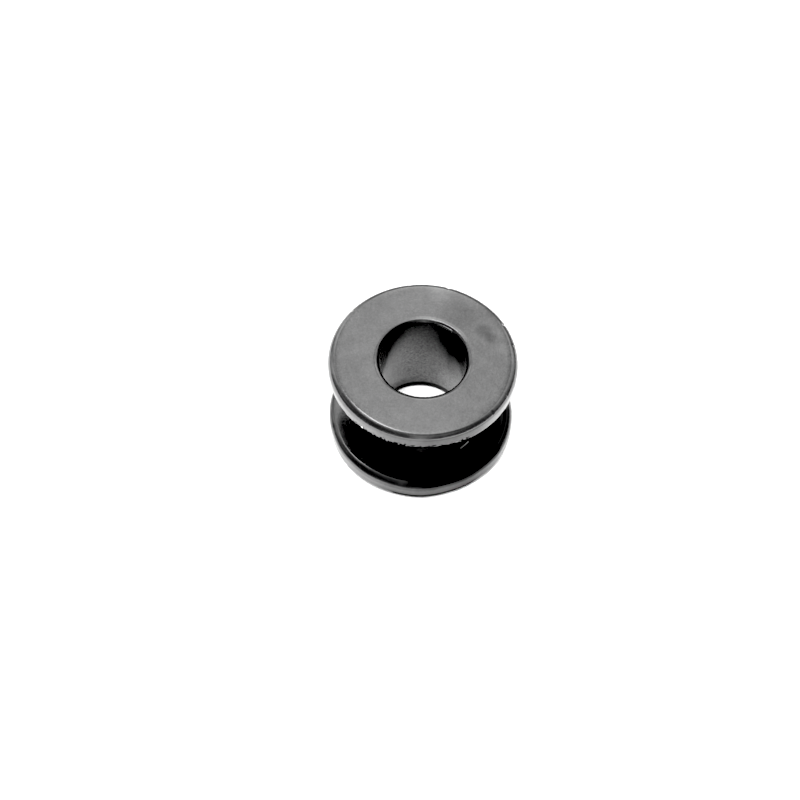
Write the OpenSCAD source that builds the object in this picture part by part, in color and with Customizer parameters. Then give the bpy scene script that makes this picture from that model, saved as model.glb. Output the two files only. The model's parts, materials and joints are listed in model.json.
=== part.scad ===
// Fuel tank gasket: a one-piece moulded rubber spool with two round flanges,
// a deep square groove between them and a plain through bore.
// The whole part is one section turned about the bore's axis, +Z.
// Origin: centre of the underside, on the bore's axis.

/* [Overall] */
// Diameter of both flanges
flange_d = 22; // [18:0.5:30]
// Height from underside to top face
height = 13.6; // [12:0.2:20]

/* [Flanges] */
// Thickness of each flange
flange_t = 2.8; // [2.2:0.1:3.6]
// Rounding of the flange edges on the outward faces
outer_round = 0.95; // [0.5:0.05:1.2]
// Rounding of the flange edges on the groove side
groove_round = 0.95; // [0.3:0.05:1]

/* [Groove] */
// Diameter of the core at the bottom of the groove
core_d = 14; // [13.5:0.1:16]
// Fillet at each root of the groove
root_round = 0.6; // [0.2:0.1:0.8]

/* [Bore] */
// Diameter of the through bore
bore_d = 10.2; // [7:0.1:11]
// Rounding of both mouths of the bore
mouth_round = 0.5; // [0.3:0.1:1.2]

/* [Hidden] */
$fn = 128;
flange_r = flange_d / 2;
core_r = core_d / 2;
bore_r = bore_d / 2;
eps = 0.01;

// What a rounded outside corner takes away: a square with a quarter disc left
// standing in it. The corner is at the origin, and the solid is at -X, -Y.
module corner_cut(r) {
    difference() {
        translate([-r, -r]) square([r + 1, r + 1]);
        translate([-r, -r]) circle(r = r);
        translate([-r - 1, -r - 1]) square([1, r + 3]);
        translate([-r - 1, -r - 1]) square([r + 3, 1]);
    }
}

// The fillet that an inside corner keeps. The corner is at the origin, and the
// fillet fills +X, +Y.
module corner_fill(r) {
    difference() {
        translate([-eps, -eps]) square([r + eps, r + eps]);
        translate([r, r]) circle(r = r);
    }
}

// Lower half of the section, from the underside to the middle of the groove.
module half_section() {
    difference() {
        union() {
            translate([bore_r, 0]) square([flange_r - bore_r, flange_t]);
            translate([bore_r, 0]) square([core_r - bore_r, height / 2]);
            translate([core_r, flange_t]) corner_fill(root_round);
        }
        // outward edge of the flange
        translate([flange_r, 0]) mirror([0, 1]) corner_cut(outer_round);
        // groove edge of the flange
        translate([flange_r, flange_t]) corner_cut(groove_round);
        // mouth of the bore
        translate([bore_r, 0]) mirror([1, 0]) mirror([0, 1]) corner_cut(mouth_round);
    }
}

// Whole section: the lower half and its mirror image above it.
module section() {
    union() {
        half_section();
        translate([0, height]) mirror([0, 1]) half_section();
    }
}

// The gasket: the section turned once about the bore's axis.
module gasket() {
    color([0.06, 0.06, 0.065]) rotate_extrude(angle = 360) section();
}

gasket();
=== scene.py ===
import bpy, json, math
import numpy as np
from mathutils import Vector, Matrix


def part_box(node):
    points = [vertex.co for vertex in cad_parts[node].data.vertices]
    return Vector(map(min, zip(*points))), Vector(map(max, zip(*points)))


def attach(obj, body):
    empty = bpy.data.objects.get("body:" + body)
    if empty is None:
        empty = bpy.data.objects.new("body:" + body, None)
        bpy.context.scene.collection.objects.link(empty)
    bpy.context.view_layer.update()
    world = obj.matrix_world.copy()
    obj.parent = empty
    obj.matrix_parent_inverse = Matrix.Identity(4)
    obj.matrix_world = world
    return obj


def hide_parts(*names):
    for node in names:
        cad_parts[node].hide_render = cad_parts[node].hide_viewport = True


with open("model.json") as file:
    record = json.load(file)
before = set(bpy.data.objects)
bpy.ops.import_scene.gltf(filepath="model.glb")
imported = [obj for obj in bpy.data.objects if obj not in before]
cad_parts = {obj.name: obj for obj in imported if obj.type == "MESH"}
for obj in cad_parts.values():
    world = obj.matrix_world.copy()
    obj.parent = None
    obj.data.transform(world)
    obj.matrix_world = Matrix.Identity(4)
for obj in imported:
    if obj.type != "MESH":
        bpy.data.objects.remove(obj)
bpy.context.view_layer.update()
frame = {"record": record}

MM = 0.001

# ---------------------------------------------------------------- sizes (mm)
lo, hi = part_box("gasket")
R = (hi[0] - lo[0]) * 500.0
H = (hi[2] - lo[2]) * 1000.0
mounts = {m["name"]: m for m in frame["record"]["mounts"]}
RB = mounts["bore"]["dims"]["r_mm"]
T = 2.8          # flange thickness
RO = 0.95        # outward edges of the flanges
RG = 0.95        # groove edge of the upper flange
RGL = 0.80       # groove edge of the lower flange
RM = 0.46        # mouths of the bore
RC = 7.0         # core
RR = 0.6         # roots of the groove


def arc(cx, cz, r, a0, a1, n, tag):
    return [(cx + r * math.cos(math.radians(a0 + (a1 - a0) * i / n)),
             cz + r * math.sin(math.radians(a0 + (a1 - a0) * i / n)), tag, i / n) for i in range(n + 1)]


def seg(p, q, n, tag):
    return [(p[0] + (q[0] - p[0]) * i / n, p[1] + (q[1] - p[1]) * i / n, tag, i / n) for i in range(1, n)]


def half(rg, steps):
    """Half of the section, from the middle of the bore over the flat face to the middle of the groove."""
    mouth = arc(RB + RM, H - RM, RM, 180, 90, steps, "mouth")
    edge = arc(R - RO, H - RO, RO, 90, 0, 14, "edge")
    under = arc(R - rg, H - T + rg, rg, 0, -90, 12, "under")
    root = arc(RC + RR, H - T - RR, RR, 90, 180, 8, "root")
    p = [(RB, H / 2, "bore", 0.0)] + seg((RB, H / 2), mouth[0], 8, "bore") + mouth
    p += seg(mouth[-1], edge[0], 10, "face") + edge
    p += seg(edge[-1], under[0], 3, "rim") + under
    p += seg(under[-1], root[0], 5, "web") + root
    p += seg(root[-1], (RC, H / 2), 5, "core") + [(RC, H / 2, "core", 1.0)]
    return p


prof = [(x, z, tag, t, 1) for x, z, tag, t in half(RG, 20)]
prof += [(x, H - z, tag, t, -1) for x, z, tag, t in reversed(half(RGL, 10)[1:-1])]
n = len(prof)
NSEG = 560
TH = np.arange(NSEG) * 2 * math.pi / NSEG
DEG = np.degrees(TH)


# ---------------------------------------------------------------- small unevenness (mm)
def ring_noise(seed, knots, sharp=False):
    """Random values round the ring, -1 to 1, closed on itself."""
    v = np.random.RandomState(seed).uniform(-1, 1, knots)
    x = np.arange(NSEG) * knots / NSEG
    i = np.floor(x).astype(int)
    f = x - i
    if not sharp:
        f = f * f * (3 - 2 * f)
    return v[i % knots] * (1 - f) + v[(i + 1) % knots] * f


def window(centre, half_w, soft):
    d = np.abs((DEG - centre + 180) % 360 - 180)
    return np.clip((half_w + soft - d) / soft, 0, 1)


slow = 0.6 * ring_noise(1, 7) + 0.4 * ring_noise(2, 17)
slow2 = 0.6 * ring_noise(3, 6) + 0.4 * ring_noise(4, 19)
rag = 0.65 * ring_noise(5, 130, True) + 0.35 * ring_noise(6, 240, True) + 0.2 * ring_noise(7, 60)
rag_w = np.clip(0.20 + 0.75 * window(262, 30, 12) + 0.35 * window(215, 15, 20), 0, 1)
fine_rag = ring_noise(8, 280, True)
low_rag = 0.6 * ring_noise(9, 90, True) + 0.4 * ring_noise(10, 31)
mouth_rag = 0.6 * ring_noise(11, 120, True) + 0.4 * ring_noise(12, 44)
mouth_w = np.clip(0.22 + 1.0 * window(180, 11, 6) + 0.3 * window(20, 25, 15), 0, 1)
lip_w = window(60, 9, 7)
ro = RO - 0.20 * window(288, 26, 30)      # the upper edge is crisper there
drop = np.clip((0.17 * rag + 0.20 * fine_rag) * rag_w + 0.14 * window(222, 20, 14) - 0.10 * window(275, 22, 14), -0.38, 0.26)
rgl = RGL + 0.19 * window(252, 14, 20)    # the lower groove edge is rounder there
rm = RM + 0.34 * window(270, 50, 60)      # the mouth is rounder towards the front
nick = np.zeros(NSEG)
for c, w, a in ((74.5, 1.0, 0.10), (29.3, 1.2, 0.12), (99, 0.8, 0.05), (142, 1.0, 0.06), (12, 0.8, 0.05), (318, 0.9, 0.06), (334, 0.7, 0.05)):
    nick += a * window(c, 0.2, w)


def shape(k):
    """Radius and height all round for section point k."""
    x, z, tag, t, side = prof[k]
    x = np.full(NSEG, x)
    z = np.full(NSEG, z)
    top = side > 0
    if tag == "bore":
        x = x + 0.012 * (slow if top else slow2)
    if tag == "mouth" and top:
        x = RB + rm * (1 - math.cos(math.radians(90 * t)))
        z = H - rm * (1 - math.sin(math.radians(90 * t)))
    if tag == "mouth":
        nx, nz = -math.cos(math.radians(90 * t)), math.sin(math.radians(90 * t))
        push = -0.045 * mouth_w * (0.5 + 0.5 * mouth_rag) * math.sin(math.pi * t) if top else -0.02 * (0.5 + 0.5 * low_rag) * math.sin(math.pi * t)
        if top:
            push = push + lip_w * (0.045 * math.exp(-((t - 0.20) / 0.09) ** 2) - 0.085 * math.exp(-((t - 0.50) / 0.15) ** 2))
        x = x + push * nx
        z = z + push * nz * side
    if tag == "edge" and top:
        x = R - ro * (1 - math.sin(math.radians(90 * t)))
        z = H - ro * (1 - math.cos(math.radians(90 * t)))
    if tag == "edge":
        nx, nz = math.sin(math.radians(90 * t)), math.cos(math.radians(90 * t))
        push = -0.016 * (1 + (slow if top else slow2)) * math.sin(math.pi * t)
        if top:
            push = push - nick * math.exp(-((t - 0.5) / 0.25) ** 2)
        x = x + push * nx
        z = z + push * nz * side
    if tag == "rim":
        x = x - 0.006 * (1 + (slow if top else slow2))
    if tag in ("edge", "rim", "under"):
        x = x - 0.008
    if not top and tag in ("edge", "rim", "under"):
        x = x - 0.16 * window(300, 12, 16) + 0.08 * window(224, 12, 14)
    if tag == "under" and not top:
        x = x + (RGL - rgl) * (1 - math.cos(math.radians(90 * t)))
        z = T - rgl * (1 - math.sin(math.radians(90 * t)))
    if tag == "under":
        nx, nz = math.cos(math.radians(90 * t)), -math.sin(math.radians(90 * t))
        w = math.exp(-((t - 0.5) / 0.28) ** 2)
        if top:
            w = float(np.interp(t, (0.0, 0.09, 0.65, 1.0), (0.0, 1.0, 1.0, 0.0)))
            z = z + drop * (1 - t)
            push = ((0.06 * rag + 0.08 * fine_rag - 0.03) * rag_w - 0.04 - 0.03 * window(280, 18, 12)) * w
        else:
            push = (0.03 * low_rag - 0.02) * w
        x = np.minimum(x + push * nx, R - 0.008) if top else x + push * nx
        z = z + push * nz * side
    if tag in ("web", "root"):
        z = z + 0.012 * (slow2 if top else slow)
    if tag == "core":
        x = x + 0.015 * (slow2 if top else slow)
    return x, z


grid = np.zeros((n, NSEG, 3))
for k in range(n):
    x, z = shape(k)
    grid[k, :, 0] = x * np.cos(TH)
    grid[k, :, 1] = x * np.sin(TH)
    grid[k, :, 2] = z
verts = grid.transpose(1, 0, 2).reshape(-1, 3) * MM
faces = []
for i in range(NSEG):
    j = (i + 1) % NSEG
    for k in range(n):
        l = (k + 1) % n
        faces.append((i * n + k, i * n + l, j * n + l, j * n + k))
me = bpy.data.meshes.new("rubber_spool")
me.from_pydata(verts.tolist(), [], faces)
me.validate()
for poly in me.polygons:
    poly.use_smooth = True
ob = bpy.data.objects.new("rubber_spool", me)
bpy.context.scene.collection.objects.link(ob)
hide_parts("gasket")
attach(ob, "root")

# ---------------------------------------------------------------- material
mat = bpy.data.materials.new("black_rubber")
mat.use_nodes = True
nt = mat.node_tree
N, K = nt.nodes, nt.links
bsdf = N["Principled BSDF"]


def math_node(op, a, b=None, c=None, clamp=False):
    m = N.new("ShaderNodeMath")
    m.operation = op
    m.use_clamp = clamp
    for i, v in enumerate((a, b, c)):
        if v is None:
            continue
        if isinstance(v, (int, float)):
            m.inputs[i].default_value = v
        else:
            K.new(v, m.inputs[i])
    return m.outputs[0]


tc = N.new("ShaderNodeTexCoord")
mm = N.new("ShaderNodeVectorMath")
mm.operation = "SCALE"
mm.inputs["Scale"].default_value = 1000.0
K.new(tc.outputs["Object"], mm.inputs[0])
P = mm.outputs[0]


def noise(scale, detail=2.0, rough=0.5, lo_=0.3, hi_=0.7, shift=(0, 0, 0), distort=0.0):
    """Noise with its usual range stretched to 0..1; scale is in waves per mm."""
    a = N.new("ShaderNodeVectorMath")
    a.operation = "ADD"
    a.inputs[1].default_value = shift
    K.new(P, a.inputs[0])
    t = N.new("ShaderNodeTexNoise")
    t.inputs["Scale"].default_value = scale
    t.inputs["Detail"].default_value = detail
    t.inputs["Roughness"].default_value = rough
    t.inputs["Distortion"].default_value = distort
    K.new(a.outputs[0], t.inputs["Vector"])
    r = N.new("ShaderNodeMapRange")
    r.inputs["From Min"].default_value = lo_
    r.inputs["From Max"].default_value = hi_
    K.new(t.outputs["Fac"], r.inputs["Value"])
    return r.outputs[0]


def spot(centre, r0, r1):
    """1 inside r0 of a point (mm), falling to 0 at r1."""
    d = N.new("ShaderNodeVectorMath")
    d.operation = "DISTANCE"
    d.inputs[1].default_value = centre
    K.new(P, d.inputs[0])
    r = N.new("ShaderNodeMapRange")
    r.interpolation_type = "SMOOTHSTEP"
    r.inputs["From Min"].default_value = r0
    r.inputs["From Max"].default_value = r1
    r.inputs["To Min"].default_value = 1.0
    r.inputs["To Max"].default_value = 0.0
    K.new(d.outputs["Value"], r.inputs["Value"])
    return r.outputs[0]


cloud = noise(0.16, 3.0, 0.55, 0.32, 0.68, (3, 7, 1))
blotch = noise(0.55, 4.0, 0.6, 0.32, 0.68, (11, 2, 5))
mottle = noise(1.3, 3.0, 0.6, 0.3, 0.7, (1, 9, 4))
grain = noise(3.6, 4.0, 0.65, 0.3, 0.7)
fine = noise(16.0, 2.0, 0.5, 0.3, 0.7, (5, 5, 5))

# inside the bore the skin is coarser
rad = N.new("ShaderNodeVectorMath")
rad.operation = "LENGTH"
flat = N.new("ShaderNodeVectorMath")
flat.operation = "MULTIPLY"
flat.inputs[1].default_value = (1, 1, 0)
K.new(P, flat.inputs[0])
K.new(flat.outputs[0], rad.inputs[0])
inb = N.new("ShaderNodeMapRange")
inb.inputs["From Min"].default_value = RB + 0.05
inb.inputs["From Max"].default_value = RB + 0.3
inb.inputs["To Min"].default_value = 1.0
inb.inputs["To Max"].default_value = 0.0
K.new(rad.outputs["Value"], inb.inputs["Value"])
inbore = inb.outputs[0]

# dull and shiny patches: how strongly the skin reflects
lev = math_node("MULTIPLY_ADD", cloud, 0.06, 0.37)
lev = math_node("MULTIPLY_ADD", blotch, 0.07, lev)
lev = math_node("MULTIPLY_ADD", mottle, 0.06, lev)
lev = math_node("MULTIPLY_ADD", grain, 0.13, lev)
lev = math_node("MULTIPLY_ADD", math_node("MULTIPLY_ADD", grain, 0.5, -0.2), inbore, lev)
for c, r0, r1, a in (((6.9, 4.0, 13.6), 0.3, 1.3, -0.16), ((7.75, 3.0, 13.6), 0.2, 1.0, -0.17),
                     ((4.2, 6.2, 13.6), 0.8, 3.4, -0.12), ((1.8, 9.9, 13.6), 0.4, 2.6, 0.12),
                     ((5.6, 8.3, 13.6), 0.3, 1.6, 0.06), ((-8.2, -1.5, 13.6), 0.4, 2.2, -0.05),
                     ((9.2, 1.6, 13.6), 0.3, 1.2, 0.06), ((9.1, 3.6, 13.6), 0.2, 1.0, 0.08), ((-6.0, 7.0, 13.6), 0.8, 3.0, -0.04)):
    lev = math_node("MULTIPLY_ADD", math_node("MULTIPLY", spot(c, r0, r1), math_node("MULTIPLY_ADD", blotch, 0.8, 0.55)), a, lev)
# painted shade: where the lowest edges meet the ground their reflection drops almost to nothing, standing in
# for the contact shadow
sepz = N.new("ShaderNodeSeparateXYZ")
K.new(P, sepz.inputs[0])
contact_shade = N.new("ShaderNodeMapRange")
contact_shade.inputs["From Min"].default_value = 0.35
contact_shade.inputs["From Max"].default_value = 0.62
contact_shade.inputs["To Min"].default_value = 0.06
contact_shade.inputs["To Max"].default_value = 1.0
K.new(math_node("MULTIPLY_ADD", mottle, 0.12, sepz.outputs["Z"]), contact_shade.inputs["Value"])
lev = math_node("MULTIPLY", lev, contact_shade.outputs[0])


def band(value, a, b, soft):
    """1 where the value lies between a and b, with soft ends."""
    u = math_node("MULTIPLY_ADD", value, 1.0 / soft, -a / soft + 1.0, clamp=True)
    v = math_node("MULTIPLY_ADD", value, -1.0 / soft, b / soft + 1.0, clamp=True)
    return math_node("MULTIPLY", u, v)


def ease(value, a, b):
    """0 at a, 1 at b, smooth between; a may be the larger."""
    r = N.new("ShaderNodeMapRange")
    r.interpolation_type = "SMOOTHSTEP"
    lo_, hi_ = (a, b) if a < b else (b, a)
    r.inputs["From Min"].default_value = lo_
    r.inputs["From Max"].default_value = hi_
    if a > b:
        r.inputs["To Min"].default_value = 1.0
        r.inputs["To Max"].default_value = 0.0
    K.new(value, r.inputs["Value"])
    return r.outputs[0]


xx, yy, zz, rr = sepz.outputs["X"], sepz.outputs["Y"], sepz.outputs["Z"], rad.outputs["Value"]
deg = math_node("MULTIPLY", math_node("ARCTAN2", yy, xx), 180 / math.pi)


def patch(level, mask, gain):
    """Scales the level by gain where the mask is 1."""
    return math_node("MULTIPLY", level, math_node("MULTIPLY_ADD", mask, gain - 1.0, 1.0))


def both(*masks):
    m = masks[0]
    for k in masks[1:]:
        m = math_node("MULTIPLY", m, k)
    return m


# gain on the reflection strength that paints shade and highlights onto the surface, place by place
painted_light_gain = 1.0
groove = band(zz, 2.7, 3.6, 0.1)
# painted shade: the groove's lower root and its floor reflect almost nothing, most of all to the right
painted_light_gain = patch(painted_light_gain, both(groove, band(rr, 6.5, 7.75, 0.1)), 0.05)
painted_light_gain = patch(painted_light_gain, both(groove, band(rr, 7.5, 10.15, 0.15), band(deg, -49, 6, 7)), 0.15)
rough_deg = math_node("MULTIPLY_ADD", math_node("SUBTRACT", grain, 0.5), 22.0, deg)
painted_light_gain = patch(painted_light_gain, both(groove, band(rr, 7.5, 9.2, 0.7), band(deg, -140, -112, 8)), 0.15)
painted_light_gain = patch(painted_light_gain, both(groove, band(rr, 7.5, 9.4, 0.8), band(rough_deg, -160, -139, 12)), 0.0)
# painted highlight: a short bright streak on the lower root, where the reflection strength is doubled
painted_streak = both(band(deg, -48.5, -39, 2), band(rr, 7.23, 7.33, 0.05), groove)
painted_light_gain = math_node("MAXIMUM", painted_light_gain, math_node("MULTIPLY", painted_streak, 2.0))
# inside the bore: painted shade on the upper walls left and right, a painted reflection brightening the lower
# right, painted shade at the foot
hole = band(rr, 4.9, 5.3, 0.1)
wall_l = ease(math_node("MULTIPLY_ADD", math_node("MAXIMUM", math_node("SUBTRACT", 148.0, deg), 0.0), -0.11, zz), 4.4, 9.5)
painted_light_gain = patch(painted_light_gain, hole, 0.76)
painted_light_gain = patch(painted_light_gain, both(hole, wall_l, band(deg, 117, 163, 14)), 0.03)
painted_light_gain = patch(painted_light_gain, both(hole, ease(zz, 9.5, 11.5), band(deg, 152, 166, 10)), 0.4)
wall_r = math_node("MULTIPLY_ADD", math_node("MAXIMUM", math_node("SUBTRACT", 34.0, deg), 0.0), -0.10, zz)
wall_r = math_node("MULTIPLY_ADD", math_node("MAXIMUM", math_node("SUBTRACT", deg, 52.0), 0.0), -0.19, wall_r)
painted_light_gain = patch(painted_light_gain, both(hole, ease(wall_r, 3.4, 9.4), ease(zz, 13.4, 13.0), band(deg, 16, 66, 16)), 0.0)
painted_light_gain = patch(painted_light_gain, both(hole, ease(zz, 10.2, 12.8), band(deg, 64, 125, 8)), 0.6)
painted_light_gain = patch(painted_light_gain, both(hole, ease(zz, 6.4, 3.0), ease(deg, 76, 44)), 2.0)
painted_light_gain = patch(painted_light_gain, both(hole, ease(zz, 2.8, 1.4), ease(deg, 70, 122)), 0.35)
painted_light_gain = patch(painted_light_gain, both(band(rr, 4.9, 5.7, 0.15), band(zz, -1.0, 1.0, 0.2)), 0.05)
# painted highlight: the reflection on the rear lip of the bore is raised
painted_light_gain = patch(painted_light_gain, both(band(rr, 5.05, 5.8, 0.1), band(zz, 12.9, 13.7, 0.1), ease(deg, 20, 45), ease(deg, 118, 88)), 1.35)
# painted shade: the shoulder of the lower flange, both rims towards the front and a stretch of the back rim
# reflect less
painted_light_gain = patch(painted_light_gain, both(band(zz, 2.35, 2.75, 0.04), band(rr, 10.2, 11.2, 0.1)), 0.6)
painted_light_gain = patch(painted_light_gain, both(band(zz, 2.5, 2.85, 0.1), band(rr, 10.0, 11.2, 0.1), band(deg, -96, -30, 3)), 0.1)
painted_light_gain = patch(painted_light_gain, both(band(zz, 2.66, 2.85, 0.08), band(rr, 10.0, 11.2, 0.1), band(deg, -30, 2, 4)), 0.15)
front = both(band(deg, -106, -54, 16), band(rr, 10.2, 11.2, 0.15))
right = both(band(deg, -84, -54, 10), band(rr, 10.2, 11.2, 0.15))
painted_light_gain = patch(painted_light_gain, both(band(zz, 10.6, 13.05, 0.1), front), 0.62)
painted_light_gain = patch(painted_light_gain, both(band(zz, 10.6, 13.05, 0.1), right), 0.75)
painted_light_gain = patch(painted_light_gain, both(band(zz, -0.2, 2.4, 0.15), front), 0.6)
painted_light_gain = patch(painted_light_gain, both(band(zz, -0.2, 2.4, 0.15), band(rr, 10.2, 11.2, 0.15), band(deg, -62, -22, 10)), 0.5)
painted_light_gain = patch(painted_light_gain, both(ease(zz, 12.05, 11.35), band(zz, 10.6, 13.0, 0.1), band(rr, 10.0, 11.2, 0.15), band(deg, -160, -116, 14)), 0.3)
painted_light_gain = patch(painted_light_gain, both(band(zz, 12.9, 13.5, 0.15), band(rr, 10.35, 11.1, 0.15), band(deg, 12, 42, 10)), 0.5)
painted_light_gain = patch(painted_light_gain, both(band(zz, -0.2, 2.9, 0.15), band(rr, 10.2, 11.2, 0.15), band(deg, -84, -34, 10)), 0.72)
painted_light_gain = patch(painted_light_gain, both(ease(zz, 2.1, 2.7), ease(zz, 4.0, 3.5), band(rr, 10.2, 11.2, 0.15), band(deg, -88, -50, 10)), 0.2)
painted_light_gain = patch(painted_light_gain, both(band(zz, -0.5, 0.95, 0.3), front), 0.0)
# painted shade along the torn lower edge of the upper flange: the reflection there is cut to nothing
torn_shade_edge = math_node("MULTIPLY_ADD", noise(3.4, 1.0, 0.5, 0.3, 0.7, (7, 3, 9)), 0.55, zz)
painted_light_gain = patch(painted_light_gain, both(ease(torn_shade_edge, 12.28, 12.14), band(zz, 11.5, 12.6, 0.12), band(rr, 10.0, 11.2, 0.15), band(deg, -132, -62, 10)), 0.0)
lev = math_node("MULTIPLY", math_node("MULTIPLY", lev, 1.19), painted_light_gain)
K.new(lev, bsdf.inputs["Specular IOR Level"])
bsdf.inputs["IOR"].default_value = 1.88

rgh = math_node("MULTIPLY_ADD", blotch, 0.05, 0.115)
rgh = math_node("MULTIPLY_ADD", grain, 0.05, rgh)
rgh = math_node("MULTIPLY_ADD", mottle, 0.03, rgh)
K.new(rgh, bsdf.inputs["Roughness"])

# carbon black, with a faint bloom in patches and one pale speck on the upper rim
bloom = math_node("MULTIPLY", math_node("POWER", blotch, 2.0, clamp=True), mottle, clamp=True)
speck = spot((-6.69, -8.70, 11.92), 0.10, 0.2)
mixb = N.new("ShaderNodeMix")
mixb.data_type = "RGBA"
mixb.inputs[6].default_value = (0.0010, 0.0010, 0.0011, 1)
mixb.inputs[7].default_value = (0.0030, 0.0030, 0.0030, 1)
K.new(bloom, mixb.inputs[0])
mixs = N.new("ShaderNodeMix")
mixs.data_type = "RGBA"
mixs.inputs[7].default_value = (0.92, 0.92, 0.90, 1)
K.new(speck, mixs.inputs[0])
K.new(mixb.outputs[2], mixs.inputs[6])
K.new(mixs.outputs[2], bsdf.inputs["Base Color"])

# moulded skin: fine grain over a slight unevenness
hgt = math_node("MULTIPLY", grain, 0.55)
hgt = math_node("MULTIPLY_ADD", fine, 0.18, hgt)
hgt = math_node("MULTIPLY_ADD", mottle, 0.9, hgt)
bump = N.new("ShaderNodeBump")
bump.inputs["Strength"].default_value = 1.0
bump.inputs["Distance"].default_value = 0.0000045
K.new(hgt, bump.inputs["Height"])
K.new(bump.outputs[0], bsdf.inputs["Normal"])
me.materials.append(mat)

# ---------------------------------------------------------------- stage
bpy.ops.mesh.primitive_plane_add(size=6.0, location=(0, 0, -0.00002))
floor = bpy.context.object
floor.name = "floor"
fm = bpy.data.materials.new("floor_white")
fm.use_nodes = True
fb = fm.node_tree.nodes["Principled BSDF"]
fb.inputs["Base Color"].default_value = (0.9, 0.9, 0.9, 1)
fb.inputs["Roughness"].default_value = 1.0
fb.inputs["Specular IOR Level"].default_value = 0.0
floor.data.materials.append(fm)

# the room: soft pools of light, brightest overhead and behind the part
LOBES = [
    # azimuth from the back, elevation, tightness, radiance
    (0, 90, 82, 1.54),
    (30, 78, 90, 1.35),
    (0, 75, 166, 2.31),
    (240, 75, 166, 1.16),
    (300, 75, 166, 1.93),
    (60, 75, 166, 1.08),
    (180, 66, 110, 1.0),
    (0, 65, 136, 2.7),
    (225, 65, 136, 0.4),
    (270, 65, 136, 2.13),
    (315, 65, 136, 3.41),
    (45, 65, 136, 0.32),
    (60, 57, 28, 1.77),
    (180, 56, 110, 0.85),
    (0, 54, 122, 1.54),
    (300, 54, 122, 0.88),
    (330, 54, 122, 1.17),
    (148, 50, 40, 0.62),
    (215, 50, 60, 0.19),
    (180, 46, 110, 0.85),
    (0, 41, 82, 3.66),
    (270, 41, 82, 0.18),
    (30, 41, 82, 1.98),
    (300, 41, 82, 2.19),
    (330, 41, 82, 2.21),
    (90, 41, 82, 0.52),
    (180, 36, 110, 0.89),
    (50, 30, 25, 1.31),
    (332, 27, 30, 0.85),
    (0, 26, 60, 0.85),
    (30, 26, 60, 1.91),
    (300, 26, 60, 1.54),
    (330, 26, 60, 1.26),
    (90, 26, 60, 0.43),
    (180, 26, 110, 0.92),
    (270, 26, 60, 0.58),
    (180, 16, 110, 0.96),
    (120, 9, 49, 0.19),
    (150, 9, 49, 0.28),
    (180, 9, 49, 0.39),
    (210, 9, 49, 0.49),
    (240, 9, 49, 0.16),
    (300, 9, 49, 1.11),
    (330, 9, 49, 0.98),
    (60, 9, 49, 0.17),
    (180, 6, 110, 0.96),
]
world = bpy.data.worlds.new("studio")
bpy.context.scene.world = world
world.use_nodes = True
wn = world.node_tree
wl = wn.links
bg = wn.nodes["Background"]
wtc = wn.nodes.new("ShaderNodeTexCoord")


def wmath(op, a, b=None, c=None):
    m = wn.nodes.new("ShaderNodeMath")
    m.operation = op
    for i, v in enumerate((a, b, c)):
        if v is None:
            continue
        if isinstance(v, (int, float)):
            m.inputs[i].default_value = v
        else:
            wl.new(v, m.inputs[i])
    return m.outputs[0]


total = 0.2
for az, el, kap, rad in LOBES:
    e, a = math.radians(el), math.radians(az)
    dot = wn.nodes.new("ShaderNodeVectorMath")
    dot.operation = "DOT_PRODUCT"
    dot.inputs[1].default_value = (math.cos(e) * math.sin(a), math.cos(e) * math.cos(a), math.sin(e))
    wl.new(wtc.outputs["Generated"], dot.inputs[0])
    g = wmath("EXPONENT", wmath("MULTIPLY_ADD", dot.outputs["Value"], float(kap), -float(kap)))
    total = wmath("MULTIPLY_ADD", g, rad, total)
bg.inputs["Color"].default_value = (1, 1, 1, 1)
wl.new(total, bg.inputs["Strength"])


def sun(name, az, el, energy, angle):
    """A broad, even light that the floor gets but that doesn't show as a highlight."""
    L = bpy.data.lights.new(name, "SUN")
    L.angle = math.radians(angle)
    L.energy = energy
    o = bpy.data.objects.new(name, L)
    e, a = math.radians(el), math.radians(az)
    d = Vector((math.cos(e) * math.sin(a), math.cos(e) * math.cos(a), math.sin(e)))
    o.location = d
    o.rotation_euler = (-d).to_track_quat("-Z", "Y").to_euler()
    o.visible_camera = False
    o.visible_glossy = False
    bpy.context.scene.collection.objects.link(o)


sun("fill", 200, 73, 3.7, 20)
for i, (az, e) in enumerate(((35, 0.6), (325, 1.1), (95, 0.9))):
    sun("low_%d" % i, az, 32, e, 25)

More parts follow.
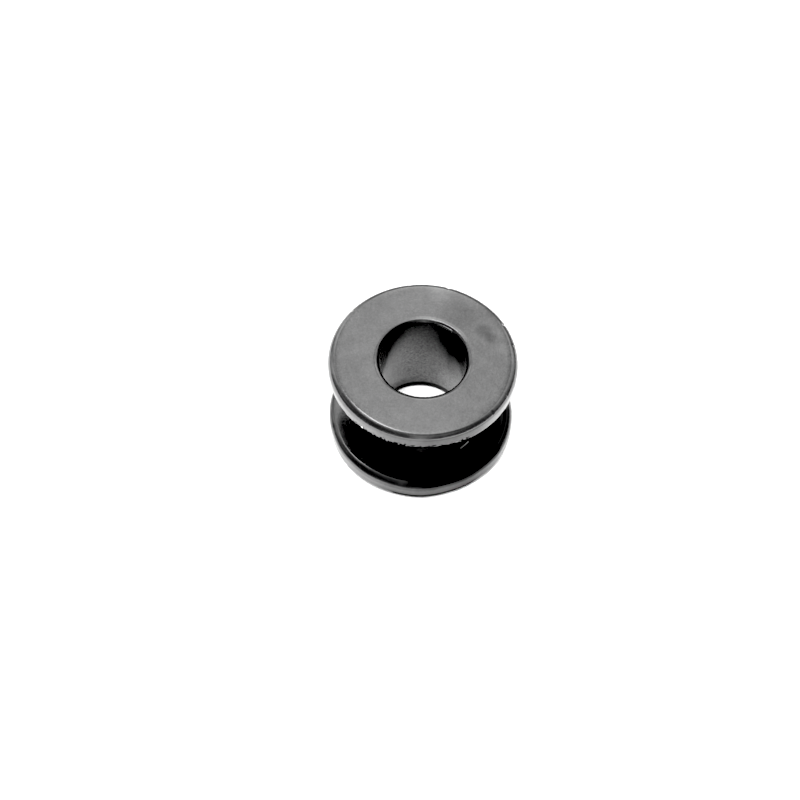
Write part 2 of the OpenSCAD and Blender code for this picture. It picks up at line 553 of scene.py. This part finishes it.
side = bpy.data.lights.new("side", "AREA")
side.shape = "DISK"
side.size = 0.10
side.energy = 0.16
so = bpy.data.objects.new("side", side)
so.location = (-0.15, -0.04, 0.13)
so.rotation_euler = Vector((0.13, 0.02, -0.13)).to_track_quat("-Z", "Y").to_euler()
so.visible_camera = False
so.visible_glossy = False
bpy.context.scene.collection.objects.link(so)

key = bpy.data.lights.new("key", "AREA")
key.shape = "DISK"
key.size = 0.17
key.energy = 5.6 * math.pi * math.pi * 0.17 ** 2 / 4
ko = bpy.data.objects.new("key", key)
kd = Vector((-0.20, 0.20, 0.96)).normalized()
ko.location = kd * 0.6
ko.rotation_euler = (-kd).to_track_quat("-Z", "Y").to_euler()
ko.visible_camera = False
bpy.context.scene.collection.objects.link(ko)

# ---------------------------------------------------------------- camera
CAM = dict(D=18.763, e=56.68, roll=1.632, u0=421.62, v0=390.10, s=93.10)


def make_camera():
    Rm = R * MM
    D = CAM["D"] * Rm
    f = CAM["s"] * CAM["D"]
    er, ro = math.radians(CAM["e"]), math.radians(CAM["roll"])
    fwd = Vector((0, math.cos(er), -math.sin(er)))
    right = Vector((1, 0, 0))
    up_ = right.cross(fwd)
    r2 = right * math.cos(ro) + up_ * math.sin(ro)
    u2 = -right * math.sin(ro) + up_ * math.cos(ro)
    O = Vector((0, 0, H * MM / 2))
    ox = (CAM["u0"] - 400) / f * D
    oy = -(CAM["v0"] - 400) / f * D
    pos = O - r2 * ox - u2 * oy - fwd * D
    m = Matrix((r2, u2, -fwd)).transposed().to_4x4()
    m.translation = pos
    cd = bpy.data.cameras.new("camera")
    cd.sensor_width = 36.0
    cd.lens = f / 800.0 * 36.0
    cd.clip_start = 0.01
    cd.clip_end = 20
    co = bpy.data.objects.new("camera", cd)
    co.matrix_world = m
    bpy.context.scene.collection.objects.link(co)
    bpy.context.scene.camera = co


make_camera()
vs = bpy.context.scene.view_settings
vs.view_transform = "Standard"
vs.use_curve_mapping = True
vs.curve_mapping.black_level = (0.02, 0.02, 0.02)
vs.curve_mapping.update()
